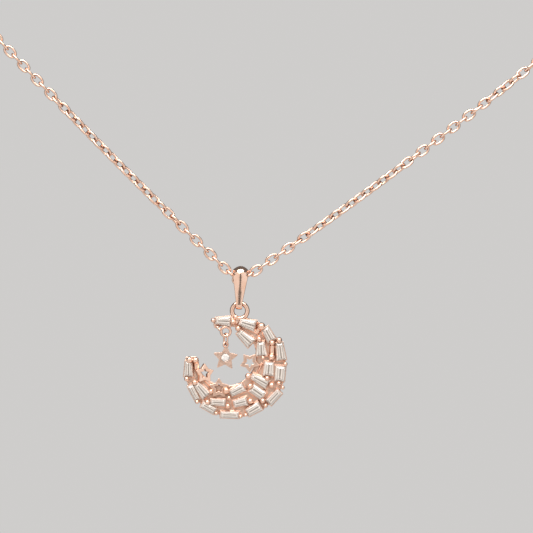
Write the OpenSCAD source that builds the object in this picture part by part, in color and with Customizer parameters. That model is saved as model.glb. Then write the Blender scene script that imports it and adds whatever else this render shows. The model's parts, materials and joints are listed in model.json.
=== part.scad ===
// Pendant necklace: a fine cable chain, a tapered bail, and a crescent pendant set with
// tapered baguette stones, three fixed openwork stars and one star that dangles.
// It is modelled as it hangs when worn: +Z up, +Y towards the nape, and the wearer's front at -Y.
// The origin is the centre of the neck opening, level with the two places where the front
// of the chain hangs from. Every coordinate is in millimetres.

/* [Neck] */
// Height of the two hanging places above the top of the bail
front_drop = 58; // [50:1:70]
// Depth of the neck opening from the front of the chain to the nape
neck_depth = 100; // [85:1:120]
// Height of the clasp at the nape above the two hanging places
nape_rise = 28; // [15:1:40]
// Rise of the left arm for each millimetre sideways, beside the bail
left_slope = 0.957; // [0.8:0.001:1.1]
// Rise of the right arm for each millimetre sideways, beside the bail
right_slope = 0.678; // [0.55:0.001:0.8]
// Curve of both arms, added to the rise as this times the distance squared
arm_bow = 0.0015; // [0.001:0.0001:0.003]

/* [Chain] */
// Distance from each link to the next
link_pitch = 1.41; // [1.38:0.01:1.45]
// Diameter of the link wire
wire_d = 0.35; // [0.3:0.01:0.37]
// Width of a link over its wire
link_w = 1.5; // [1.44:0.01:1.54]
// Slack between two links that pull on each other
link_slack = 0.07; // [0.05:0.01:0.09]

/* [Bail] */
// Width of the bail where it folds over the chain
bail_top_w = 2.28; // [2.2:0.01:2.3]
// Width of the bail at its eye
bail_eye_w = 0.92; // [0.85:0.01:1]
// Thickness of the bail's sheet
bail_sheet = 0.3; // [0.24:0.01:0.32]
// Extra thickness at the crown of the bail's fold
bail_crown = 0.2; // [0:0.05:0.2]
// Inner radius of the fold that turns on the chain
bail_fold_r = 1.03; // [1.02:0.01:1.1]
// Inner radius of the eye that holds the pendant ring
bail_eye_r = 0.63; // [0.62:0.01:0.64]

/* [Pendant] */
// Radius of the pendant ring to the middle of its wire
ring_r = 1.1; // [1.05:0.01:1.15]
// Radius of the pendant ring's wire
ring_wire_r = 0.33; // [0.3:0.01:0.34]
// Outer radius of the crescent's backing plate
crescent_r = 7.3; // [7.1:0.05:7.5]
// Radius of the round space inside the crescent
hollow_r = 4.3; // [4.2:0.05:4.4]
// Thickness of the backing plate
plate_t = 0.5; // [0.4:0.05:0.6]
// Width of the wall round each stone's seat
seat_wall = 0.12; // [0.1:0.01:0.2]

/* [Stones] */
// Depth of the cut stones, from table to keel
stone_depth = 1.18; // [1:0.02:1.3]
// Diameter of the round stone in the dangling star
round_stone_d = 1.24; // [1.1:0.02:1.3]

/* [Stars] */
// Reach of the dangling star from its centre to a point, before the points are rounded
drop_star_r = 1.95; // [1.85:0.01:2]
// Thickness of the dangling star
drop_star_t = 0.7; // [0.6:0.05:0.8]
// Reach of the openwork stars from the centre to a point, before the points are rounded
open_star_r = 1.5; // [1.4:0.01:1.55]
// Thickness of the openwork stars
open_star_t = 0.6; // [0.5:0.05:0.6]

/* [Clasp] */
// Radius of the hook's opening
hook_in_r = 1.35; // [1.3:0.01:1.4]
// Width of the hook's round bar
hook_bar = 1; // [0.9:0.05:1.05]
// Thickness of the clasp body, front to back
clasp_t = 1.6; // [1.5:0.05:1.8]
// Radius of the end ring to the middle of its wire
end_ring_r = 1.55; // [1.5:0.01:1.6]

/* [Hidden] */

// Stones, as [across, up, turn in degrees, length, width at the left end, width at the right end],
// measured from the centre of the crescent's outline. The numbers below are the setter's layout.
STONES = [
    [-1.76, 6.61, -2, 2.2, 0.9, 1.5],
    [1.73, 6.2, -16, 2.35, 0.9, 1.7],
    [1.4, 4.22, -42, 2.6, 0.86, 1.66],
    [4.75, 4.7, -61, 2.15, 1.1, 1.3],
    [3.73, 2.61, -87, 2.05, 0.95, 1.67],
    [6.5, 2.25, -83, 2.55, 0.9, 1.45],
    [4.81, -0.26, -95, 2, 1.3, 1.55],
    [6.45, -0.95, -95, 2.2, 1.45, 1.4],
    [3.5, -1.93, -28, 2.7, 0.85, 1.4],
    [3.2, -3.6, -35, 2.2, 1.35, 1.35],
    [5.6, -4.33, 46, 2.35, 1.15, 1],
    [0.27, -3.37, 28, 2.2, 0.9, 1.3],
    [0.72, -5.12, 14, 2, 1, 1.25],
    [2.66, -6.1, 31, 2.2, 1.1, 1.4],
    [-0.8, -6.88, -2, 2.65, 0.9, 0.95],
    [-2.5, -5.1, -4, 2.2, 0.9, 1.1],
    [-3.85, -5.85, -29, 2.2, 0.9, 1],
    [-4.87, -3.31, -50, 2.35, 0.9, 1.6],
    [-5.98, -3.68, -63, 2.4, 0.85, 0.75],
    [-6.75, -0.26, -90, 2.25, 0.85, 1.35],
];

function two_digits(i) = str(i < 10 ? "0" : "", i);
STONE_NODES = [for (i = [1:len(STONES)]) str("stone_", two_digits(i))];

METAL = "rosybrown";
STONE = "whitesmoke";

// Prong beads, as [across, up, radius], in the same layout as the stones
BEADS = [
    [-3.19, 6.72, 0.33], [0.05, 7.2, 0.33], [-0.31, 6.5, 0.4], [0.39, 5.53, 0.4],
    [3.75, 5.85, 0.58], [3.44, 4.04, 0.4], [5.29, 3.48, 0.4], [6.32, 3.89, 0.42],
    [5.24, 1.47, 0.44], [3.96, 1.34, 0.27], [7.2, 0.42, 0.33], [1.85, -1.31, 0.44],
    [4.58, -1.62, 0.36], [5.24, -2.62, 0.42], [6.27, -2.36, 0.35], [6.84, -2.95, 0.28],
    [2.15, -2.72, 0.42], [2.18, -4.9, 0.4], [3.96, -4.86, 0.38], [4.38, -5.56, 0.32],
    [-0.93, -4.44, 0.33], [-1.08, -5.62, 0.38], [-4.01, -5.06, 0.38], [-5.85, -2.22, 0.38],
    [-7, -1.72, 0.36], [-5.5, -5.02, 0.3], [-2.75, -6.68, 0.28], [0.75, -7.12, 0.28],
    [-6.6, 1.05, 0.46], [-5.7, 1, 0.46], [-3.5, -3.5, 0.36], [-1.3, -3.4, 0.5],
    [1.5, -6.9, 0.26], [-2.55, 5.7, 0.24], [-2.25, 5.42, 0.24],
];

// Bars between the stones, as [across, up, turn in degrees, length, radius]
BARS = [
    [5.32, 2.35, 90, 1.5, 0.38], [-5.62, 0.4, 95, 1.5, 0.4], [3.25, 5.25, 60, 1, 0.36],
    [-4.2, -2.1, -46, 2, 0.12], [-3.75, -2.25, -44, 1.7, 0.12], [3.55, -0.1, 62, 1.4, 0.11],
];

// Link sizes
wire_r = wire_d / 2;
link_half_w = link_w / 2 - wire_r;
link_half_l = (link_pitch + wire_d + link_slack) / 2;
link_hook = link_half_l - link_pitch / 2;

// The lowest link lies inside the bail, tilted, and the two arms run up from its ends
lowest_under = 1.45;
lowest_left = 0.05;
lowest_tilt = 5;
lowest_way = [cos(lowest_tilt), 0, -sin(lowest_tilt)];
front_y = -neck_depth / 2;
bail_z = -front_drop;

// Where an arm's first joint is, from the lowest link's middle: the next link slides round its end
function arm_start(side, slope) =
    side * link_pitch / 2 * lowest_way
    + (link_half_w - link_hook) * (unit([side, 0, slope]) - side * lowest_way);
left_start = arm_start(-1, left_slope);
right_start = arm_start(1, right_slope);
function arm_reach(slope, rise) = (sqrt(slope * slope + 4 * arm_bow * rise) - slope) / (2 * arm_bow);
left_reach = arm_reach(left_slope, front_drop + lowest_under - left_start[2]);
right_reach = arm_reach(right_slope, front_drop + lowest_under - right_start[2]);
lowest_x = (left_reach - left_start[0] - right_reach - right_start[0]) / 2;
lowest_at = [lowest_x, front_y, bail_z - lowest_under];
bail_x = lowest_at[0] + lowest_left;
hang_x = (left_reach - left_start[0] + right_reach + right_start[0]) / 2;

// Bail and pendant heights, from the top of the bail
fold_z = bail_z - 0.95;
ring_z = bail_z - 5.88;
eye_z = ring_z + ring_r;
bail_rise = fold_z - eye_z;
fold_out_r = bail_fold_r + bail_sheet;
bail_lean = 3;
bail_aside = 0.08;
crescent_x = bail_x - 0.634;
crescent_z = ring_z - 8.09;

// Stone levels, as [share of the width, pull-in at each end, depth behind the crescent's middle]
girdle_y = -0.26;
STONE_RINGS = [
    [0.52, 0.36, girdle_y - 0.31 * stone_depth],
    [0.78, 0.17, girdle_y - 0.2 * stone_depth],
    [1, 0, girdle_y],
    [1, 0, girdle_y + 0.07 * stone_depth],
    [0.74, 0.2, girdle_y + 0.32 * stone_depth],
    [0.42, 0.45, girdle_y + 0.56 * stone_depth],
    [0.06, 0.7, girdle_y + 0.69 * stone_depth],
];
seat_front = -0.12;
bearing_front = -0.34;
plate_front = 0.25;
plate_back = plate_front + plate_t;
hollow_at = [-1.3, 1.6];

// Dangling star, in the crescent's layout
tip_ring_at = [-1.38, 5.11];
tip_ring_r = 0.67;
tip_wire_r = 0.2;
star_wire_r = 0.13;
play = 0.03;
star_link_half_l = 0.78;
star_link_half_w = 0.51;
star_link_yaw = 30;
star_link_top = tip_ring_at[1] - tip_ring_r + tip_wire_r + 2 * play + star_wire_r;
star_link_mid = star_link_top - star_link_half_l;
star_loop_r = 0.36;
star_hang = star_link_mid - star_link_half_l;
star_loop_up = star_hang + 2 * star_wire_r + play - star_loop_r;
drop_star_at = [-1.42, 1.32];
drop_star_turn = -4;

// Clasp, measured along the chain from the middle of its hook
nape_y = neck_depth / 2;
hook_mid_r = hook_in_r + hook_bar / 2;
eye_at = 5.6;
eye_hole_r = 0.5;
eye_half_t = 0.35;
clasp_ring_r = 0.95;
clasp_ring_wire_r = 0.25;
end_wire_r = 0.28;

// How far from a hole's far edge a ring's middle stands, where the ring's inside meets the edges of the wall
function ring_stand(r, wire, half_t) = sqrt((r - wire - play) ^ 2 - half_t ^ 2);
clasp_ring_at = eye_at + eye_hole_r + ring_stand(clasp_ring_r, clasp_ring_wire_r, eye_half_t);
first_link_in = link_hook - wire_r - link_slack / 2;
clasp_ring_joint = clasp_ring_at + clasp_ring_r - clasp_ring_wire_r + first_link_in;
end_ring_at = hook_in_r + ring_stand(end_ring_r, end_wire_r, clasp_t / 2);
end_ring_joint = end_ring_at + end_ring_r - end_wire_r + first_link_in;
hook_x = (clasp_ring_joint - end_ring_joint) / 2;
nape_gap = (clasp_ring_joint + end_ring_joint) / 2;
gap_from = 56;
gap_to = 140;
pivot_angle = 40;
pivot_at = hook_mid_r * [cos(pivot_angle), sin(pivot_angle)];
pin_r = 0.22;
lever_t = 0.7;
lever_bar = 0.6;
lever_to = gap_to - 3;
lever_corner = (hook_mid_r + lever_bar / 2) * [cos(lever_to), sin(lever_to)];
lever_sweep = norm(lever_corner - pivot_at) + 2 * play;
slot_half_t = lever_t / 2 + 2 * play;

// ---- Paths and frames along them ----

function unit(v) = v / norm(v);
function square_to(v, d) = unit(v - (v * d) * d);
function bezier(p, t) =
    p[0] * (1 - t) ^ 3 + 3 * p[1] * t * (1 - t) ^ 2 + 3 * p[2] * t ^ 2 * (1 - t) + p[3] * t ^ 3;

function run_lengths(pts) = [
    for (i = 0, s = 0; i < len(pts); i = i + 1, s = i < len(pts) ? s + norm(pts[i] - pts[i - 1]) : s) s];

// Points along a path at equal steps as near the pitch as a whole number of links allows
function link_joints(pts) =
    let (runs = run_lengths(pts),
         total = runs[len(runs) - 1],
         count = round(total / link_pitch),
         tables = [for (axis = [0:2]) [for (i = [0:len(pts) - 1]) [runs[i], pts[i][axis]]]])
    [for (k = [0:count]) [for (axis = [0:2]) lookup(k * total / count, tables[axis])]];

function link_ways(joints) = [for (k = [0:len(joints) - 2]) unit(joints[k + 1] - joints[k])];

// A direction square to the path, carried along it without twisting
function carried(ways, start) = [
    for (i = 0, n = square_to(start, ways[0]); i < len(ways);
         i = i + 1, n = i < len(ways) ? square_to(n, ways[i]) : n) n];

path_steps = 400;
function arm_path(side, start, reach, slope) = [
    for (i = [0:path_steps])
        let (u = i * reach / path_steps)
        lowest_at + start + [side * u, 0, slope * u + arm_bow * u * u]];

// From a hanging place over the shoulder, and round the neck to the clasp
function neck_path(side, reach, slope) =
    let (end_slope = slope + 2 * arm_bow * reach,
         up = unit([side, 0, end_slope]),
         start = [side * hang_x, front_y, 0],
         shoulder = start + [side * 5.5, 12, 8],
         nape = [side * nape_gap, nape_y, nape_rise],
         across = abs(shoulder[0] - nape[0]),
         back = nape_y - shoulder[1],
         lift = nape_rise - shoulder[2],
         round_share = 0.5523,
         over = [start, start + 6 * up, shoulder - [0, 6, 0.6], shoulder],
         round = [shoulder, shoulder + [0, round_share * back, 0.1 * lift],
                  nape + [side * round_share * across, 0, 0], nape])
    concat([for (i = [0:path_steps]) bezier(over, i / path_steps)],
           [for (i = [1:path_steps]) bezier(round, i / path_steps)]);

left_arm = link_joints(arm_path(-1, left_start, left_reach, left_slope));
right_arm = link_joints(arm_path(1, right_start, right_reach, right_slope));
left_neck = link_joints(neck_path(-1, left_reach, left_slope));
right_neck = link_joints(neck_path(1, right_reach, right_slope));

// The arms hang free, so their links turn slowly: degrees at each distance from the bail
left_turns = [[0, 0], [8, 0], [16, 45], [32, 45], [38, 90]];
right_turns = [[0, 0], [7, 0], [12, 45], [26, 45], [31, 90], [40, 90], [46, 135], [52, 180]];
function arm_rolls(joints, turns) =
    let (count = len(joints) - 1,
         settled = [count * link_pitch - 4, count % 2 == 0 ? 90 : 180])
    [for (k = [0:count - 1]) 90 * ((k + 1) % 2) + lookup(k * link_pitch, concat(turns, [settled]))];

// The neck's links turn evenly, so that the last one stands upright in its ring
function neck_rolls(ways, normals) =
    let (count = len(ways),
         way = ways[count - 1],
         n = normals[count - 1],
         wanted = atan2(cross(way, n) * [0, 1, 0], n * [0, 1, 0]) - 90 * ((count - 1) % 2),
         twist = wanted - 180 * round(wanted / 180))
    [for (k = [0:count - 1]) 90 * (k % 2) + twist * k / (count - 1)];

// ---- Small shared shapes ----

module at_crescent(at = [0, 0]) {
    translate([crescent_x + at[0], front_y, crescent_z + at[1]]) children();
}

// Stands a flat outline up in the pendant's plane, from one depth to another
module upright(from, to) {
    rotate([90, 0, 0]) translate([0, 0, -to]) linear_extrude(to - from) children();
}

module torus(r, wire) {
    rotate_extrude($fn = 64) translate([r, 0]) circle(r = wire, $fn = 32);
}

// A wire loop with straight sides, lying in the XY plane and longest along X
module wire_loop(half_l, half_w, wire) {
    straight = half_l - half_w;
    for (end = [0, 1])
        mirror([end, 0, 0])
            translate([straight, 0, 0])
                rotate([0, 0, -90])
                    rotate_extrude(angle = 180, $fn = 48) translate([half_w, 0]) circle(r = wire, $fn = 24);
    for (side = [-1, 1])
        translate([-straight, side * half_w, 0])
            rotate([0, 90, 0]) cylinder(r = wire, h = 2 * straight, $fn = 24);
}

// One link, pointed along a way, with its flat face square to the normal
module link(at, way, normal) {
    side = cross(normal, way);
    multmatrix([
        [way[0], side[0], normal[0], at[0]],
        [way[1], side[1], normal[1], at[1]],
        [way[2], side[2], normal[2], at[2]],
        [0, 0, 0, 1]])
        wire_loop(link_half_l, link_half_w, wire_r);
}

module links(joints, rolls, normals, first, last) {
    ways = link_ways(joints);
    for (k = [first:last])
        link((joints[k] + joints[k + 1]) / 2, ways[k],
             cos(rolls[k]) * normals[k] + sin(rolls[k]) * cross(ways[k], normals[k]));
}

// A five-pointed star whose points are cut back to where a round tip meets their sides
module star_outline(reach, notch, tip) {
    half_point = atan(notch * sin(36) / (reach - notch * cos(36)));
    cut = tip / tan(half_point);
    cut_at = [reach - cut * cos(half_point), cut * sin(half_point)];
    for (i = [0:4])
        rotate(90 + 72 * i) {
            polygon([[0, 0], notch * [cos(36), -sin(36)], [cut_at[0], -cut_at[1]],
                     cut_at, notch * [cos(36), sin(36)]]);
            translate([reach - tip / sin(half_point), 0]) circle(r = tip, $fn = 24);
        }
}

// ---- Chain ----

module arm(joints, turns) {
    ways = link_ways(joints);
    normals = carried(ways, [0, -1, 0]);
    links(joints, arm_rolls(joints, turns), normals, 0, len(ways) - 1);
}

module neck_part(joints, from_share, to_share) {
    ways = link_ways(joints);
    normals = carried(ways, [0, -1, 0]);
    count = len(ways);
    links(joints, neck_rolls(ways, normals), normals,
          round(from_share * count), round(to_share * count) - 1);
}

shoulder_share = 0.45;

module front_chain_left() {
    color(METAL) {
        arm(left_arm, left_turns);
        link(lowest_at, lowest_way, [0, -1, 0]);
    }
}

module front_chain_right() {
    color(METAL) arm(right_arm, right_turns);
}

module shoulder_chain_left() {
    color(METAL) neck_part(left_neck, 0, shoulder_share);
}

module shoulder_chain_right() {
    color(METAL) neck_part(right_neck, 0, shoulder_share);
}

module nape_chain_left() {
    color(METAL) neck_part(left_neck, shoulder_share, 1);
}

module nape_chain_right() {
    color(METAL) neck_part(right_neck, shoulder_share, 1);
}

// ---- Bail ----

// A tapered loop seen from the side: two round ends and flat sides just inside their tangents.
// It stands on the eye's middle.
module side_loop(top_z, top_r, low_r, width) {
    taper = asin((top_r - low_r) / top_z);
    inset = 0.02;
    for (end = [[top_z, top_r], [0, low_r]])
        translate([-width / 2, 0, end[0]]) rotate([0, 90, 0]) cylinder(r = end[1], h = width, $fn = 64);
    translate([-width / 2, 0, 0])
        rotate([90, 0, 90])
            linear_extrude(width)
                polygon([for (c = [[1, top_z, top_r], [-1, top_z, top_r], [-1, 0, low_r], [1, 0, low_r]])
                    [c[0] * (c[2] - inset) * cos(taper), c[1] + (c[2] - inset) * sin(taper)]]);
}

// The bail's outline from the front: a rounded shoulder, a straight taper and a round tip
module bail_front() {
    top = bail_rise + bail_crown + fold_out_r;
    tip = -bail_eye_r - bail_sheet;
    shoulder_r = 1.35;
    widest_z = top - 1;
    intersection() {
        union() {
            polygon([[-bail_top_w / 2, widest_z], [-bail_eye_w / 2, tip + bail_eye_w / 2],
                     [bail_eye_w / 2, tip + bail_eye_w / 2], [bail_top_w / 2, widest_z]]);
            translate([-bail_top_w / 2, widest_z]) square([bail_top_w, top - widest_z + 1]);
            translate([0, tip + bail_eye_w / 2]) circle(r = bail_eye_w / 2, $fn = 48);
        }
        union() {
            translate([0, top - shoulder_r]) circle(r = shoulder_r, $fn = 64);
            translate([-bail_top_w, tip - 1]) square([2 * bail_top_w, top - shoulder_r - tip + 1]);
        }
    }
}

module bail() {
    color(METAL)
        translate([bail_x - bail_aside, front_y, eye_z])
            rotate([0, bail_lean, 0])
                intersection() {
                    difference() {
                        side_loop(bail_rise + bail_crown, fold_out_r, bail_eye_r + bail_sheet, bail_top_w);
                        side_loop(bail_rise, bail_fold_r, bail_eye_r, bail_top_w + 1);
                    }
                    upright(-2, 2) bail_front();
                }
}

// ---- Crescent ----

// The ring is notched where it is soldered over the second stone's corner
module pendant_ring() {
    color(METAL)
        difference() {
            translate([bail_x, front_y, ring_z]) rotate([90, 0, 0]) torus(ring_r, ring_wire_r);
            at_crescent() upright(-1, 1) stone_outline(STONES[1], 1, 0.02);
        }
}

module trapezoid(long, left_w, right_w) {
    polygon([[-long / 2, -left_w / 2], [long / 2, -right_w / 2],
             [long / 2, right_w / 2], [-long / 2, left_w / 2]]);
}

// A stone's outline, scaled or grown for a seat, a bearing or a hole
module stone_outline(s, share, grow) {
    translate([s[0], s[1]])
        rotate(s[2])
            trapezoid(s[3] * share + 2 * grow, s[4] * share + 2 * grow, s[5] * share + 2 * grow);
}

module stone_outlines(share, grow) {
    for (s = STONES) stone_outline(s, share, grow);
}

module crescent_outline() {
    difference() {
        circle(r = crescent_r, $fn = 96);
        translate(hollow_at) circle(r = hollow_r, $fn = 96);
        polygon([hollow_at, [-9, 1.45], [-9, 9], [-3.6, 9], [-3.1, 5.85]]);
    }
}

// A round bead on a stem that stands on the plate
module bead(at) {
    bead_y = -0.4;
    stem_share = 0.72;
    translate([at[0], 0, at[1]]) {
        rotate([90, 0, 0]) translate([0, 0, 0.1 - plate_back])
            cylinder(r = stem_share * at[2], h = plate_back - 0.1 - bead_y, $fn = 32);
        translate([0, bead_y, 0]) rotate([90, 0, 0]) sphere(r = at[2], $fn = 32);
    }
}

module bar(b) {
    translate([b[0], 0, b[1]])
        rotate([0, -b[2], 0])
            rotate([0, 90, 0]) cylinder(r = b[4], h = b[3], center = true, $fn = 32);
}

module crescent_frame() {
    solder = [-0.1, 6.75];
    color(METAL)
        at_crescent() {
            difference() {
                union() {
                    upright(plate_front, plate_back) crescent_outline();
                    upright(seat_front, plate_back) stone_outlines(1, seat_wall);
                    upright(-0.3, plate_back) translate(solder) circle(r = 0.62, $fn = 32);
                    for (b = BEADS) bead(b);
                    for (b = BARS) translate([0, plate_front - 0.1, 0]) bar(b);
                }
                upright(bearing_front, seat_front) stone_outlines(1, 0.01);
                upright(seat_front - 0.01, plate_back + 1) stone_outlines(0.93, 0);
            }
        }
}

// A tapered step-cut stone: rings of four corners from the table back to the keel
module stone(i) {
    s = STONES[i];
    corners = [for (ring = STONE_RINGS)
        let (x = s[3] / 2 - ring[1], left = s[4] / 2 * ring[0], right = s[5] / 2 * ring[0])
        each [[-x, ring[2], -left], [x, ring[2], -right], [x, ring[2], right], [-x, ring[2], left]]];
    last = 4 * (len(STONE_RINGS) - 1);
    sides = [for (ring = [0:len(STONE_RINGS) - 2]) for (k = [0:3])
        let (a = 4 * ring + k, b = 4 * ring + (k + 1) % 4)
        [a, b, b + 4, a + 4]];
    color(STONE)
        at_crescent([s[0], s[1]])
            rotate([0, -s[2], 0])
                polyhedron(corners, concat([[3, 2, 1, 0]], sides, [[last, last + 1, last + 2, last + 3]]));
}

// ---- Stars ----

module open_star(at, turn, lean) {
    notch = 0.6 * open_star_r;
    hole_reach = 0.5 * open_star_r;
    hole_notch = 0.26 * open_star_r;
    color(METAL)
        at_crescent(at)
            rotate([0, 0, lean])
                rotate([0, -turn, 0])
                    upright(-open_star_t / 2 - 0.05, open_star_t / 2 - 0.05)
                        difference() {
                            star_outline(open_star_r, notch, 0.08);
                            polygon([for (i = [0:9])
                                (i % 2 == 0 ? hole_reach : hole_notch)
                                    * [cos(90 + 36 * i), sin(90 + 36 * i)]]);
                        }
}

module open_star_left() {
    open_star([-4.5, -0.94], 0, 25);
}

module open_star_right() {
    open_star([2.07, 0.66], -35, 0);
}

module open_star_bottom() {
    open_star([-2.36, -3.05], 0, 0);
}

module tip_ring() {
    color(METAL) at_crescent(tip_ring_at) rotate([90, 0, 0]) torus(tip_ring_r, tip_wire_r);
}

module star_link() {
    color(METAL)
        at_crescent([tip_ring_at[0], star_link_mid])
            rotate([0, 90, star_link_yaw]) wire_loop(star_link_half_l, star_link_half_w, star_wire_r);
}

// The star, with a loop that stands square to the link it hangs on
module star_drop() {
    color(METAL)
        difference() {
            union() {
                at_crescent(drop_star_at)
                    rotate([0, -drop_star_turn, 0])
                        upright(-drop_star_t / 2, drop_star_t / 2)
                            star_outline(drop_star_r, 0.49 * drop_star_r, 0.11);
                at_crescent([tip_ring_at[0], star_loop_up])
                    rotate([90, 0, star_link_yaw]) torus(star_loop_r, star_wire_r);
            }
            at_crescent([tip_ring_at[0], star_loop_up])
                rotate([0, 0, star_link_yaw])
                    upright(-1, 1) circle(r = star_loop_r - star_wire_r, $fn = 32);
            at_crescent(drop_star_at)
                upright(-1, 0.1) circle(d = round_stone_d + 0.04, $fn = 48);
        }
}

// A round stone with an eight-sided table, crown and pavilion
module star_stone() {
    crown = 0.22;
    deep = 0.38;
    color(STONE)
        at_crescent(drop_star_at)
            translate([0, -drop_star_t / 2, 0])
                rotate([-90, 0, 0])
                    rotate(22.5) {
                        translate([0, 0, -crown])
                            cylinder(d1 = 0.6 * round_stone_d, d2 = round_stone_d, h = crown, $fn = 8);
                        cylinder(d = round_stone_d, h = 0.05, $fn = 8);
                        translate([0, 0, 0.05]) cylinder(d1 = round_stone_d, d2 = 0.1, h = deep, $fn = 8);
                    }
}

// ---- Clasp ----

// Puts a clasp piece in place: +X runs from the hook to the chain's left side, +Z is up
module at_clasp() {
    translate([hook_x, nape_y, nape_rise]) mirror([1, 0, 0]) children();
}

// A slice of a flat disc between two angles
module sector(r, from, to) {
    middle = (from + to) / 2;
    polygon([[0, 0], 2 * r * [cos(from), sin(from)], 2.4 * r * [cos(middle), sin(middle)],
             2 * r * [cos(to), sin(to)]]);
}

module hook_arc(mid_r, bar_w) {
    difference() {
        circle(r = mid_r + bar_w / 2, $fn = 64);
        circle(r = mid_r - bar_w / 2, $fn = 64);
    }
}

module clasp_body() {
    tail_from = 1.5;
    color(METAL)
        at_clasp()
            difference() {
                union() {
                    upright(-clasp_t / 2, clasp_t / 2)
                        difference() {
                            union() {
                                hook_arc(hook_mid_r, hook_bar);
                                polygon([[tail_from, -1.3], [eye_at - 0.6, -0.75], [eye_at - 0.6, 0.75],
                                         [3.5, 1.9], [1.2, 2.05], [tail_from, 1]]);
                            }
                            circle(r = hook_in_r, $fn = 64);
                            sector(hook_mid_r, gap_from, gap_to);
                        }
                    upright(-eye_half_t, eye_half_t)
                        translate([eye_at, 0]) circle(r = eye_hole_r + 0.5, $fn = 48);
                }
                // The eye, the pin's hole, and the slot that holds the lever and its spring
                upright(-2, 2) translate([eye_at, 0]) circle(r = eye_hole_r, $fn = 48);
                upright(-2, 2) translate(pivot_at) circle(r = pin_r, $fn = 32);
                upright(-slot_half_t, slot_half_t) {
                    translate(pivot_at) circle(r = 0.62, $fn = 48);
                    polygon([[0.2, 1.05], [pivot_at[0], 0.62], [3.1, 0.62],
                             [3.1, 1.62], [pivot_at[0], 1.75], [0.2, 2.6]]);
                }
                // The groove in the hook's tip that the lever's end sweeps through
                upright(-slot_half_t, slot_half_t)
                    intersection() {
                        translate(pivot_at) circle(r = lever_sweep, $fn = 96);
                        sector(hook_mid_r, gap_to - 5, 186);
                    }
            }
}

module clasp_lever() {
    color(METAL)
        at_clasp()
            upright(-lever_t / 2, lever_t / 2)
                difference() {
                    union() {
                        intersection() {
                            hook_arc(hook_mid_r, lever_bar);
                            sector(hook_mid_r, pivot_angle + 4, lever_to);
                        }
                        translate(pivot_at) circle(r = 0.5, $fn = 48);
                        // The tail that the spring pushes on, and the thumb nub
                        translate(pivot_at) translate([0, -0.28]) square([1.4, 0.36]);
                        rotate(78) translate([hook_mid_r, -0.35]) square([0.95, 0.7]);
                    }
                    translate(pivot_at) circle(r = pin_r + play, $fn = 32);
                }
}

module clasp_pin() {
    color(METAL)
        at_clasp()
            translate([pivot_at[0], 0, pivot_at[1]])
                rotate([90, 0, 0]) cylinder(r = pin_r, h = clasp_t, center = true, $fn = 32);
}

// Three turns of fine wire standing between the lever's tail and the roof of its slot
spring_low = pivot_at[1] + 0.1;
spring_high = 1.6;
spring_x = pivot_at[0] + 1.1;

module clasp_spring() {
    turns = 3;
    steps = 10;
    coil_r = 0.2;
    wire = 0.035;
    sides = 6;
    rings = turns * steps;
    height = spring_high - spring_low - 2 * wire;
    points = [for (i = [0:rings]) for (k = [0:sides - 1])
        let (a = 360 * i / steps, b = 360 * k / sides, r = coil_r + wire * cos(b))
        [r * cos(a), r * sin(a), wire + height * i / rings + wire * sin(b)]];
    walls = [for (i = [0:rings - 1]) for (k = [0:sides - 1])
        let (a = sides * i + k, b = sides * i + (k + 1) % sides)
        [a, a + sides, b + sides, b]];
    color("silver")
        at_clasp()
            translate([spring_x, 0, spring_low])
                polyhedron(points, concat([[for (k = [0:sides - 1]) k]], walls,
                    [[for (k = [sides - 1:-1:0]) sides * rings + k]]));
}

module clasp_ring() {
    color(METAL) at_clasp() translate([clasp_ring_at, 0, 0]) torus(clasp_ring_r, clasp_ring_wire_r);
}

module end_ring() {
    color(METAL) at_clasp() translate([-end_ring_at, 0, 0]) torus(end_ring_r, end_wire_r);
}

front_chain_left();
front_chain_right();
shoulder_chain_left();
shoulder_chain_right();
nape_chain_left();
nape_chain_right();
bail();
pendant_ring();
crescent_frame();
for (i = [0:len(STONES) - 1])
    stone(i);
open_star_left();
open_star_right();
open_star_bottom();
tip_ring();
star_link();
star_drop();
star_stone();
clasp_ring();
clasp_body();
clasp_lever();
clasp_pin();
clasp_spring();
end_ring();
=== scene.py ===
"""Pendant necklace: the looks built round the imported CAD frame."""

import json
import math

import bmesh
import bpy
import numpy as np
from mathutils import Matrix, Vector


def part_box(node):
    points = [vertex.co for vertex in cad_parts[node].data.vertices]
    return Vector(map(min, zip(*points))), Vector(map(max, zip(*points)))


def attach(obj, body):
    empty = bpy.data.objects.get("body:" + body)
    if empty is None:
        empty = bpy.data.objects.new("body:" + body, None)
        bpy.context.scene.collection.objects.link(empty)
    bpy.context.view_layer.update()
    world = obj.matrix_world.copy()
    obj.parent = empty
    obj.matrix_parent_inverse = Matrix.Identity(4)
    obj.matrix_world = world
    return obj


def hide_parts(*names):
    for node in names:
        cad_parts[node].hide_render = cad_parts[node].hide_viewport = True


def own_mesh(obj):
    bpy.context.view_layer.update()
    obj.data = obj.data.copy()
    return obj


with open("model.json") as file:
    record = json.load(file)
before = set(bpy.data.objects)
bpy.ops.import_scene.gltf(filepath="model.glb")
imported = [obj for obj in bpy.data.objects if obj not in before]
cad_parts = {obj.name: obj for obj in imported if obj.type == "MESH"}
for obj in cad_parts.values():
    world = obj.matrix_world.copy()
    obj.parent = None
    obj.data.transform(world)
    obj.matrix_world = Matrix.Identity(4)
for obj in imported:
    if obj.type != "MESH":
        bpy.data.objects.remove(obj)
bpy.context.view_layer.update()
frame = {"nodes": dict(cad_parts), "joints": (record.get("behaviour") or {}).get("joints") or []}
NODES = frame["nodes"]
JOINTS = {joint["name"]: joint for joint in frame["joints"]}
MM = 0.001

STONES = [f"stone_{i:02d}" for i in range(1, 21)]
OPEN_STARS = ["open_star_left", "open_star_right", "open_star_bottom"]


# ---- Materials ----

def material(name):
    """A new node material, with its tree and its shader."""
    made = bpy.data.materials.new(name)
    made.use_nodes = True
    tree = made.node_tree
    return made, tree, tree.nodes["Principled BSDF"]


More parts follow.
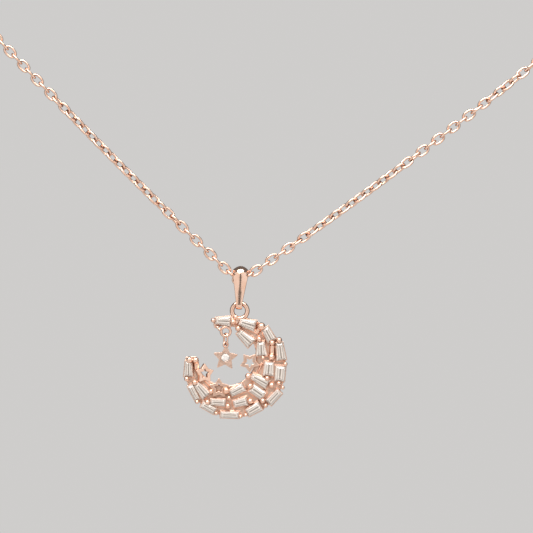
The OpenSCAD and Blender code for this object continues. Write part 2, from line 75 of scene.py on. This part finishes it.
def add(tree, kind, inputs=(), **settings):
    """Adds a node: sockets given as inputs are joined to it, and plain values are set."""
    node = tree.nodes.new(kind)
    for key, value in settings.items():
        setattr(node, key, value)
    for key, value in dict(inputs).items():
        if isinstance(value, bpy.types.NodeSocket):
            tree.links.new(value, node.inputs[key])
        else:
            node.inputs[key].default_value = value
    return node


def noise(tree, place, scale, detail=3.0, rough=0.55):
    """A noise texture's value, between 0 and 1."""
    return add(tree, "ShaderNodeTexNoise",
               {"Vector": place, "Scale": scale, "Detail": detail, "Roughness": rough}).outputs["Fac"]


def spread(tree, value, low, high, start=0.3, end=0.7):
    """Maps a texture's middle values onto a range."""
    return add(tree, "ShaderNodeMapRange",
               {"Value": value, "From Min": start, "From Max": end, "To Min": low, "To Max": high}).outputs["Result"]


SHADE_REACH = 0.0006   # metres: how near another surface has to be for the gold's colour to be painted darker there, as painted shade
BUMP = 0.00002   # metres: the height of the gold's marks and dents


def gold(name, shine, pits, wear):
    """Polished rose gold, its colour painted darker in recesses near other surfaces as painted shade, with fine
    marks and a slightly uneven surface.
    """
    made, tree, shader = material(name)
    place = add(tree, "ShaderNodeTexCoord").outputs["Object"]
    cloud = noise(tree, place, 900.0, 4.0)
    tint = add(tree, "ShaderNodeValToRGB", {"Fac": cloud})
    tint.color_ramp.elements[0].position = 0.35
    tint.color_ramp.elements[0].color = (0.88, 0.56, 0.41, 1)
    tint.color_ramp.elements[1].position = 0.65
    tint.color_ramp.elements[1].color = (0.95, 0.66, 0.52, 1)
    # Painted shade: an ambient-occlusion mask paints the colour dark brown in recesses, creases and between parts
    shade_occlusion = add(tree, "ShaderNodeAmbientOcclusion", {"Distance": SHADE_REACH}, samples=16)
    unshaded_share = spread(tree, shade_occlusion.outputs["AO"], 0.0, 1.0, 0.15, 0.75)
    painted_shade_mix = add(tree, "ShaderNodeMix", {"Factor": unshaded_share}, data_type="RGBA")
    painted_shade_mix.inputs["A"].default_value = (0.42, 0.19, 0.11, 1)
    tree.links.new(tint.outputs["Color"], painted_shade_mix.inputs["B"])
    tree.links.new(painted_shade_mix.outputs["Result"], shader.inputs["Base Color"])
    shader.inputs["Metallic"].default_value = 1.0
    haze = spread(tree, noise(tree, place, 2600.0, 5.0), shine, shine + wear)
    tree.links.new(haze, shader.inputs["Roughness"])
    marks = noise(tree, place, 14000.0, 2.0)
    dents = noise(tree, place, 2200.0, 3.0)
    height = add(tree, "ShaderNodeMath", {0: marks, 1: 0.25}, operation="MULTIPLY").outputs[0]
    height = add(tree, "ShaderNodeMath", {0: height, 1: dents}, operation="ADD").outputs[0]
    bump = add(tree, "ShaderNodeBump", {"Height": height, "Strength": pits, "Distance": BUMP})
    tree.links.new(bump.outputs["Normal"], shader.inputs["Normal"])
    return made


def math_node(tree, operation, first, second=0.0):
    """The result of one operation on two sockets or numbers."""
    return add(tree, "ShaderNodeMath", {0: first, 1: second}, operation=operation).outputs[0]


# Painted reflection: how light a baguette's colour is painted from its middle (0) to its girdle (1), in place of its
# facets' light and dark reflections
PAINTED_FACET_TONES = [(0.0, 0.34), (0.12, 0.4), (0.2, 1.0), (0.4, 0.95), (0.48, 0.56), (0.62, 0.62), (0.72, 1.0), (1.0, 1.0)]


def painted_facet_tone(tree):
    """The light and dark steps of a baguette's back facets as painted reflections in its colour, which run along it
    and narrow with it.
    """
    place = add(tree, "ShaderNodeSeparateXYZ",
                {0: add(tree, "ShaderNodeAttribute", attribute_name="cut_place").outputs["Vector"]}).outputs
    shape = add(tree, "ShaderNodeSeparateXYZ",
                {0: add(tree, "ShaderNodeAttribute", attribute_name="cut_shape").outputs["Vector"]}).outputs
    half_width = math_node(tree, "ADD", shape[0], math_node(tree, "MULTIPLY", shape[1], place[1]))
    across = math_node(tree, "ABSOLUTE", math_node(tree, "DIVIDE", place[0], half_width))
    along = math_node(tree, "ABSOLUTE", math_node(tree, "DIVIDE", place[1], shape[2]))
    step = math_node(tree, "MAXIMUM", across, spread(tree, along, 0.0, 1.0, 0.66, 1.0))
    ramp = add(tree, "ShaderNodeValToRGB", {"Fac": step})
    for i, (spot, tone) in enumerate(PAINTED_FACET_TONES):
        stop = ramp.color_ramp.elements[i] if i < 2 else ramp.color_ramp.elements.new(spot)
        stop.position = spot
        # The darker painted steps are warmer too, a painted reflection of the gold round the stone
        stop.color = (tone, tone * (0.84 + 0.12 * tone), tone * (0.74 + 0.18 * tone), 1)
    return ramp.outputs["Color"]


def gem(name, painted_facets):
    """Clear cubic zirconia, with faintly uneven polish and a trace of haze; its warm tint is a painted reflection of
    the gold round it, and a step-cut stone also gets painted reflections of its back facets in its colour.
    """
    made, tree, shader = material(name)
    place = add(tree, "ShaderNodeTexCoord").outputs["Object"]
    # Painted reflection: the warm cast of this tint stands in for the rose gold that the stone reflects
    tint = add(tree, "ShaderNodeValToRGB", {"Fac": noise(tree, place, 700.0)})
    tint.color_ramp.elements[0].color = (0.95, 0.88, 0.82, 1)
    tint.color_ramp.elements[1].color = (1.0, 0.94, 0.88, 1)
    tone = tint.outputs["Color"]
    # Painted reflection: the baguette's light and dark facet steps are multiplied into its colour
    if painted_facets:
        both = add(tree, "ShaderNodeMix", {"Factor": 1.0}, data_type="RGBA", blend_type="MULTIPLY")
        tree.links.new(tone, both.inputs["A"])
        tree.links.new(painted_facet_tone(tree), both.inputs["B"])
        tone = both.outputs["Result"]
    tree.links.new(tone, shader.inputs["Base Color"])
    tree.links.new(spread(tree, noise(tree, place, 5000.0), 0.0, 0.04), shader.inputs["Roughness"])
    shader.inputs["IOR"].default_value = 2.15
    shader.inputs["Transmission Weight"].default_value = 0.3
    shader.inputs["Specular IOR Level"].default_value = 0.6
    return made


def steel(name):
    """Drawn spring wire: grey, with a faintly uneven tone."""
    made, tree, shader = material(name)
    place = add(tree, "ShaderNodeTexCoord").outputs["Object"]
    tint = add(tree, "ShaderNodeValToRGB", {"Fac": noise(tree, place, 9000.0)})
    tint.color_ramp.elements[0].color = (0.4, 0.41, 0.43, 1)
    tint.color_ramp.elements[1].color = (0.7, 0.7, 0.72, 1)
    tree.links.new(tint.outputs["Color"], shader.inputs["Base Color"])
    shader.inputs["Metallic"].default_value = 1.0
    tree.links.new(spread(tree, noise(tree, place, 20000.0), 0.25, 0.4), shader.inputs["Roughness"])
    return made


WIRE_GOLD = gold("rose_gold_wire", 0.14, 0.25, 0.12)
CAST_GOLD = gold("rose_gold_cast", 0.26, 0.5, 0.12)
SHEET_GOLD = gold("rose_gold_sheet", 0.1, 0.12, 0.08)
STEP_STONE = gem("zirconia_baguette", True)
ROUND_STONE = gem("zirconia_round", False)
SPRING_STEEL = steel("spring_steel")


# ---- Pieces ----

def joint_at(name):
    """A joint's place in millimetres."""
    return np.array(JOINTS[name]["pos_m"]) / MM


def piece(name, mesh, body, finish, node, smooth=True):
    """Puts a mesh in the scene in place of a CAD node, on that node's body."""
    made = bpy.data.objects.new(name, mesh)
    bpy.context.scene.collection.objects.link(made)
    mesh.materials.clear()
    mesh.materials.append(finish)
    mesh.polygons.foreach_set("use_smooth", [smooth] * len(mesh.polygons))
    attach(made, body)
    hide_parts(node)
    return made


def baked(mesh, modifiers):
    """The mesh with modifiers applied, as (type, settings) pairs."""
    stand = bpy.data.objects.new("stand", mesh)
    bpy.context.scene.collection.objects.link(stand)
    for kind, settings in modifiers:
        modifier = stand.modifiers.new(kind.lower(), kind)
        for key, value in settings.items():
            setattr(modifier, key, value)
    seen = stand.evaluated_get(bpy.context.evaluated_depsgraph_get())
    out = bpy.data.meshes.new_from_object(seen)
    bpy.data.objects.remove(stand)
    return out


def in_mm(node):
    """A copy of a CAD node's mesh in millimetres round its own middle, and the way back."""
    mesh = NODES[node].data.copy()
    low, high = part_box(node)
    middle = (low + high) / 2
    mesh.transform(Matrix.Scale(1 / MM, 4) @ Matrix.Translation(-middle))
    return mesh, Matrix.Translation(middle) @ Matrix.Scale(MM, 4)


def cast(node, body, voxel, passes, finish=None):
    """A CAD node's shape with the soft edges and melted corners of a casting."""
    mesh, back = in_mm(node)
    out = baked(mesh, [
        ("WELD", {"merge_threshold": 0.0005}),
        ("REMESH", {"mode": "VOXEL", "voxel_size": voxel, "adaptivity": 0.0}),
        ("SMOOTH", {"factor": 0.5, "iterations": passes}),
    ])
    out.transform(back)
    return piece(node + "_cast", out, body, finish or CAST_GOLD, node)


def rounded(points, closed, radius, sides, first_normal):
    """A round wire along points in millimetres: (vertices, faces). The radius may be one number or one a point."""
    count = len(points)
    radii = np.full(count, radius) if np.isscalar(radius) else np.asarray(radius)
    if closed:
        ways = np.roll(points, -1, axis=0) - np.roll(points, 1, axis=0)
    else:
        ways = np.gradient(points, axis=0)
    ways /= np.linalg.norm(ways, axis=1)[:, None]
    normal = np.array(first_normal, float)
    vertices = []
    turns = np.arange(sides) * 2 * math.pi / sides
    for point, way, r in zip(points, ways, radii):
        normal = normal - way * (normal @ way)
        normal /= np.linalg.norm(normal)
        side = np.cross(way, normal)
        vertices.append(point + r * (np.outer(np.cos(turns), normal) + np.outer(np.sin(turns), side)))
    vertices = np.concatenate(vertices)
    faces = []
    for i in range(count if closed else count - 1):
        j = (i + 1) % count
        for k in range(sides):
            m = (k + 1) % sides
            faces.append((i * sides + k, i * sides + m, j * sides + m, j * sides + k))
    if not closed:
        faces.append(tuple(range(sides))[::-1])
        faces.append(tuple((count - 1) * sides + k for k in range(sides)))
    return vertices, faces


def mesh_of(name, vertices, faces):
    mesh = bpy.data.meshes.new(name)
    mesh.from_pydata([tuple(v) for v in np.asarray(vertices) * MM], [], faces)
    mesh.validate()
    mesh.update()
    return mesh


# ---- Chain ----

OVAL_POWER = 2.45   # 2 is an ellipse, and more has straighter sides


def oval(half_l, half_w, steps):
    """The centreline of a link in its own plane: nearly straight sides run into round ends."""
    turns = np.arange(steps) * 2 * math.pi / steps
    c, s = np.cos(turns), np.sin(turns)
    x = np.sign(c) * np.abs(c) ** (2 / OVAL_POWER)
    y = np.sign(s) * np.abs(s) ** (2 / OVAL_POWER)
    return np.stack([half_l * x, half_w * y, np.zeros(steps)], axis=1)


def solids_of(node):
    """The separate solids of a CAD node, as lists of triangles in millimetres."""
    bm = bmesh.new()
    bm.from_mesh(NODES[node].data)
    bmesh.ops.remove_doubles(bm, verts=bm.verts, dist=2e-7)
    bmesh.ops.triangulate(bm, faces=bm.faces)
    bm.verts.ensure_lookup_table()
    seen, found = set(), []
    for start in bm.verts:
        if start.index in seen:
            continue
        seen.add(start.index)
        queue, triangles = [start], set()
        while queue:
            vert = queue.pop()
            for face in vert.link_faces:
                triangles.add(face.index)
                for other in face.verts:
                    if other.index not in seen:
                        seen.add(other.index)
                        queue.append(other)
        found.append(sorted(triangles))
    bm.faces.ensure_lookup_table()
    out = [np.array([[v.co for v in bm.faces[i].verts] for i in group]) / MM for group in found]
    bm.free()
    return out


def lie_of(triangles):
    """A solid's middle and its longest, middle and shortest axes, from its surface."""
    a, b, c = triangles[:, 0], triangles[:, 1], triangles[:, 2]
    areas = np.linalg.norm(np.cross(b - a, c - a), axis=1) / 2
    middle = ((a + b + c) / 3 * areas[:, None]).sum(0) / areas.sum()
    a, b, c = a - middle, b - middle, c - middle
    total = a + b + c
    spread_of = sum(np.einsum("i,ij,ik->jk", areas, p, p) for p in (a, b, c, total)) / 12
    values, axes = np.linalg.eigh(spread_of)
    return middle, axes[:, 2], axes[:, 1], axes[:, 0]


def links(node, body, steps=40, sides=14):
    """A rounded wire link on each of a CAD node's links, as long, wide and thick as that link."""
    vertices, faces, first = [], [], 0
    for solid in solids_of(node):
        middle, *axes = lie_of(solid)
        size = np.ptp(solid.reshape(-1, 3) @ np.array(axes).T, axis=0)
        wire = size[2] / 2
        line = oval(size[0] / 2 - wire, size[1] / 2 - wire, steps)
        link, link_faces = rounded(line, True, wire, sides, (0, 0, 1))
        vertices.append(middle + link @ np.array(axes))
        flip = np.dot(np.cross(axes[0], axes[1]), axes[2]) < 0
        for face in link_faces:
            corners = face[::-1] if flip else face
            faces.append(tuple(first + k for k in corners))
        first += len(link)
    return piece(node + "_wire", mesh_of(node, np.concatenate(vertices), faces), body, WIRE_GOLD, node)


for part in ("front_chain_left", "front_chain_right"):
    links(part, "front_chain")
for part in ("shoulder_chain_left", "shoulder_chain_right", "nape_chain_left", "nape_chain_right"):
    links(part, "neck_chain")
links("star_link", "star_link", 72, 20)


# ---- Rings and links ----

# A ring's seam: how much thinner its groove is and how wide, in radians, and the small rise beside it
GROOVE, GROOVE_WIDTH = 0.16, 0.035
RISE, RISE_PLACE, RISE_WIDTH = 0.03, 0.12, 0.06


def ring(node, body, flat_axis, seam_turn):
    """A ring of round wire with the fine groove of its closed seam."""
    low, high = (np.array(corner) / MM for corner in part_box(node))
    middle, size = (low + high) / 2, high - low
    wire = size[flat_axis] / 2
    r = size.max() / 2 - wire
    steps = 96
    turns = np.arange(steps) * 2 * math.pi / steps
    across = [axis for axis in range(3) if axis != flat_axis]
    line = np.tile(middle, (steps, 1))
    line[:, across[0]] += r * np.cos(turns)
    line[:, across[1]] += r * np.sin(turns)
    off = np.abs((turns - seam_turn + math.pi) % (2 * math.pi) - math.pi)
    groove = 1 - GROOVE * np.exp(-(off / GROOVE_WIDTH) ** 2) + RISE * np.exp(-((off - RISE_PLACE) / RISE_WIDTH) ** 2)
    start = np.eye(3)[flat_axis]
    vertices, faces = rounded(line, True, wire * groove, 24, start)
    return piece(node + "_wire", mesh_of(node, vertices, faces), body, WIRE_GOLD, node)


ring("pendant_ring", "pendant", 1, 4.6)
ring("tip_ring", "pendant", 1, 1.4)
ring("clasp_ring", "neck_chain", 2, 0.7)
ring("end_ring", "end_ring", 2, 2.4)


# ---- Bail ----

# The bail's own sizes, in millimetres: the inside of its fold and eye, its sheet and its widths
FOLD_R, EYE_R = 1.03, 0.63
SHEET, CROWN = 0.3, 0.2
EYE_BELOW = 3.83
TOP_W, EYE_W = 2.28, 0.92

# How far its edges turn in: outside along the leaf and less at the eye, inside, and more over the fold
EDGE_TURN, EDGE_LOSS, INSIDE_TURN, FOLD_TURN = 0.3, 0.2, 0.05, 0.3


def side_loop(top, top_r, low, low_r):
    """The bail from the side: over the fold, down the front, round the eye and up the back."""
    taper = math.asin((top_r - low_r) / (top - low))
    over = np.linspace(-taper, math.pi + taper, 41)[:-1]
    under = np.linspace(math.pi + taper, 2 * math.pi - taper, 25)[:-1]
    down = np.linspace(0, 1, 25)[:-1, None]
    arcs = [np.stack([r * np.cos(t), z + r * np.sin(t)], axis=1)
            for r, z, t in ((top_r, top, over), (low_r, low, under))]
    side = np.array([math.cos(taper), -math.sin(taper)])
    ends = [np.array([0, top]) + top_r * side, np.array([0, low]) + low_r * side]
    back = ends[1] + (ends[0] - ends[1]) * down
    front = (ends[0] + (ends[1] - ends[0]) * down) * [-1, 1]
    return np.concatenate([arcs[0], front, arcs[1], back])


def bail():
    """A folded leaf of sheet, crowned across, that narrows from the fold to its eye."""
    across = np.array(JOINTS["bail_swing"]["axis"])
    up = np.cross(across, [0, 1, 0])
    outer = side_loop(CROWN, FOLD_R + SHEET, -EYE_BELOW, EYE_R + SHEET)
    inner = side_loop(0, FOLD_R, -EYE_BELOW, EYE_R)
    widest = CROWN + FOLD_R + SHEET - 1
    spots = np.linspace(-0.94, 0.94, 15)
    section = [(-1, 0.5), (-0.985, 0.14)] + [(s, 0) for s in spots] + [(0.985, 0.14), (1, 0.5), (0.97, 0.9)]
    section += [(s, 1) for s in spots[::-1]] + [(-0.97, 0.9)]
    vertices, faces = [], []
    for out, into in zip(outer, inner):
        share = np.clip((widest - out[1]) / (widest + EYE_BELOW), 0, 1)
        half = (TOP_W + (EYE_W - TOP_W) * share) / 2
        over = np.clip(out[1] / widest, 0, 1) ** 1.5
        inward = (into - out) / np.linalg.norm(into - out)
        flatter = np.clip((share - 0.35) / 0.3, 0, 1)
        crown = (EDGE_TURN - EDGE_LOSS * flatter) * half / (TOP_W / 2) + FOLD_TURN * over
        hollow = INSIDE_TURN + FOLD_TURN * over
        for s, depth in section:
            y, z = out + depth * (into - out) + ((1 - depth) * crown + depth * hollow) * s * s * inward
            vertices.append(joint_at("bail_swing") + half * s * across + np.array([0, y, 0]) + z * up)
    n, rows = len(section), len(outer)
    for i in range(rows):
        for k in range(n):
            j, m = (i + 1) % rows, (k + 1) % n
            faces.append((i * n + k, i * n + m, j * n + m, j * n + k))
    mesh = mesh_of("bail", vertices, faces)
    bm = bmesh.new()
    bm.from_mesh(mesh)
    bmesh.ops.recalc_face_normals(bm, faces=bm.faces)
    bm.to_mesh(mesh)
    bm.free()
    made = piece("bail_leaf", mesh, "bail", SHEET_GOLD, "bail")
    subdivision = made.modifiers.new("subdivision", "SUBSURF")
    subdivision.levels, subdivision.render_levels = 1, 2
    return made


bail()


# ---- Crescent, stars and clasp ----

cast("crescent_frame", "pendant", 0.05, 5)
for star in OPEN_STARS:
    cast(star, "pendant", 0.03, 4)
cast("star_drop", "star_drop", 0.025, 4)
cast("clasp_body", "clasp", 0.05, 4, SHEET_GOLD)
cast("clasp_lever", "clasp_lever", 0.03, 3, SHEET_GOLD)
cast("clasp_pin", "clasp", 0.02, 4, SHEET_GOLD)


SPRING_WIRE, SPRING_TURNS = 0.035, 3   # the wire's radius in millimetres


def spring():
    """The clasp's spring: three round turns of fine wire."""
    low, high = (np.array(corner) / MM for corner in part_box("clasp_spring"))
    middle, size = (low + high) / 2, high - low
    coil = (size[0] + size[1]) / 4 - SPRING_WIRE
    s = np.linspace(0, 1, 145)
    line = np.stack([middle[0] - coil * np.cos(2 * math.pi * SPRING_TURNS * s),
                     middle[1] + coil * np.sin(2 * math.pi * SPRING_TURNS * s),
                     low[2] + SPRING_WIRE + (size[2] - 2 * SPRING_WIRE) * s], axis=1)
    vertices, faces = rounded(line, False, SPRING_WIRE, 12, (0, 0, 1))
    made = piece("clasp_spring_coil", mesh_of("clasp_spring", vertices, faces), "clasp", SPRING_STEEL,
                 "clasp_spring")
    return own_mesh(made)


spring()


def baguette(node):
    """A step-cut stone with fine bevelled edges; its mesh knows where each point lies along and across it."""
    middle, *axes = lie_of(np.concatenate(solids_of(node)))
    through = max(axes, key=lambda axis: abs(axis[1]))
    along, across = [axis for axis in axes if axis is not through]
    mesh, back = in_mm(node)
    mesh = baked(mesh, [
        ("WELD", {"merge_threshold": 0.0005}),
        ("BEVEL", {"width": 0.015, "segments": 2, "limit_method": "ANGLE", "angle_limit": math.radians(8)}),
    ])
    mesh.transform(back)
    points = np.array([v.co for v in mesh.vertices]) / MM - middle
    l, w = points @ along, points @ across
    half_l = np.abs(l).max()
    ends = [np.abs(w[l < -0.7 * half_l]).max(), np.abs(w[l > 0.7 * half_l]).max()]
    place = mesh.attributes.new("cut_place", "FLOAT_VECTOR", "POINT")
    place.data.foreach_set("vector", np.stack([w, l, 0 * l], axis=1).ravel())
    shape = mesh.attributes.new("cut_shape", "FLOAT_VECTOR", "POINT")
    slope = (ends[1] - ends[0]) / (2 * half_l)
    shape.data.foreach_set("vector", np.tile([(ends[0] + ends[1]) / 2, slope, half_l], len(l)))
    return piece(node + "_cut", mesh, "pendant", STEP_STONE, node, smooth=False)


for name in STONES:
    baguette(name)
star_stone = NODES["star_stone"]
star_stone.data.materials.clear()
star_stone.data.materials.append(ROUND_STONE)


# ---- Camera, floor and light ----

VIEW_WIDTH = 0.07675
CAMERA_AWAY = 0.6
aim = Vector(joint_at("pendant_swing") + [3.86, 0, 6.38]) * MM
camera_data = bpy.data.cameras.new("camera")
camera_data.sensor_width = 36
camera_data.lens = 36 * CAMERA_AWAY / VIEW_WIDTH
camera_data.clip_start = 0.01
camera = bpy.data.objects.new("camera", camera_data)
bpy.context.scene.collection.objects.link(camera)
camera.location = aim + Vector((0, -CAMERA_AWAY, 0))
camera.rotation_euler = (math.pi / 2, 0, 0)
bpy.context.scene.camera = camera


FLOOR_LEVEL = -0.3


def floor():
    """A pale matt floor well below the pendant, which is stage and not part of the object."""
    made, tree, shader = material("floor")
    place = add(tree, "ShaderNodeTexCoord").outputs["Object"]
    tint = add(tree, "ShaderNodeValToRGB", {"Fac": noise(tree, place, 40.0)})
    tint.color_ramp.elements[0].color = (0.74, 0.73, 0.72, 1)
    tint.color_ramp.elements[1].color = (0.78, 0.77, 0.76, 1)
    tree.links.new(tint.outputs["Color"], shader.inputs["Base Color"])
    shader.inputs["Roughness"].default_value = 0.9
    mesh = bpy.data.meshes.new("floor")
    size = 0.5
    corners = [(-size, -size), (size, -size), (size, size), (-size, size)]
    mesh.from_pydata([(x, y, FLOOR_LEVEL) for x, y in corners], [], [(0, 1, 2, 3)])
    mesh.materials.append(made)
    floor_object = bpy.data.objects.new("floor", mesh)
    bpy.context.scene.collection.objects.link(floor_object)


floor()


def polar(turn, rise, away):
    """A place round the pendant: degrees to the right of the camera and above it, and metres away."""
    turn, rise = math.radians(turn), math.radians(rise)
    return away * Vector((math.sin(turn) * math.cos(rise), -math.cos(turn) * math.cos(rise), math.sin(rise)))


def softbox(name, offset, width, height, radiance):
    """An area light as bright as its radiance, turned to the pendant."""
    data = bpy.data.lights.new(name, "AREA")
    data.shape = "RECTANGLE"
    data.size, data.size_y = width, height
    data.energy = radiance * math.pi * width * height
    light = bpy.data.objects.new(name, data)
    bpy.context.scene.collection.objects.link(light)
    light.location = Vector(joint_at("pendant_swing")) * MM + offset
    light.rotation_euler = (-offset).to_track_quat("-Z", "Y").to_euler()
    light.visible_camera = False
    return light


# Two large soft panels in front, with the camera in the gap between them, and two smaller ones above
for name, side in (("left_softbox", -1), ("right_softbox", 1)):
    softbox(name, polar(side * 40, 6, 0.5), 0.68, 0.62, 0.8)
softbox("top_softbox", polar(0, 62, 0.5), 0.7, 0.3, 5.5)
softbox("key_softbox", polar(-10, 38, 0.5), 0.26, 0.1, 10.0)

world = bpy.data.worlds.new("world")
bpy.context.scene.world = world
world.use_nodes = True
tree = world.node_tree
tree.nodes.clear()
rays = add(tree, "ShaderNodeLightPath")
seen = add(tree, "ShaderNodeBackground", {"Color": (0.62, 0.61, 0.6, 1), "Strength": 1.0})
lit = add(tree, "ShaderNodeBackground", {"Color": (0.16, 0.16, 0.16, 1), "Strength": 1.0})
both = add(tree, "ShaderNodeMixShader", {0: rays.outputs["Is Camera Ray"], 1: lit.outputs[0], 2: seen.outputs[0]})
tree.links.new(both.outputs[0], add(tree, "ShaderNodeOutputWorld").inputs["Surface"])
bpy.context.scene.view_settings.view_transform = "Standard"
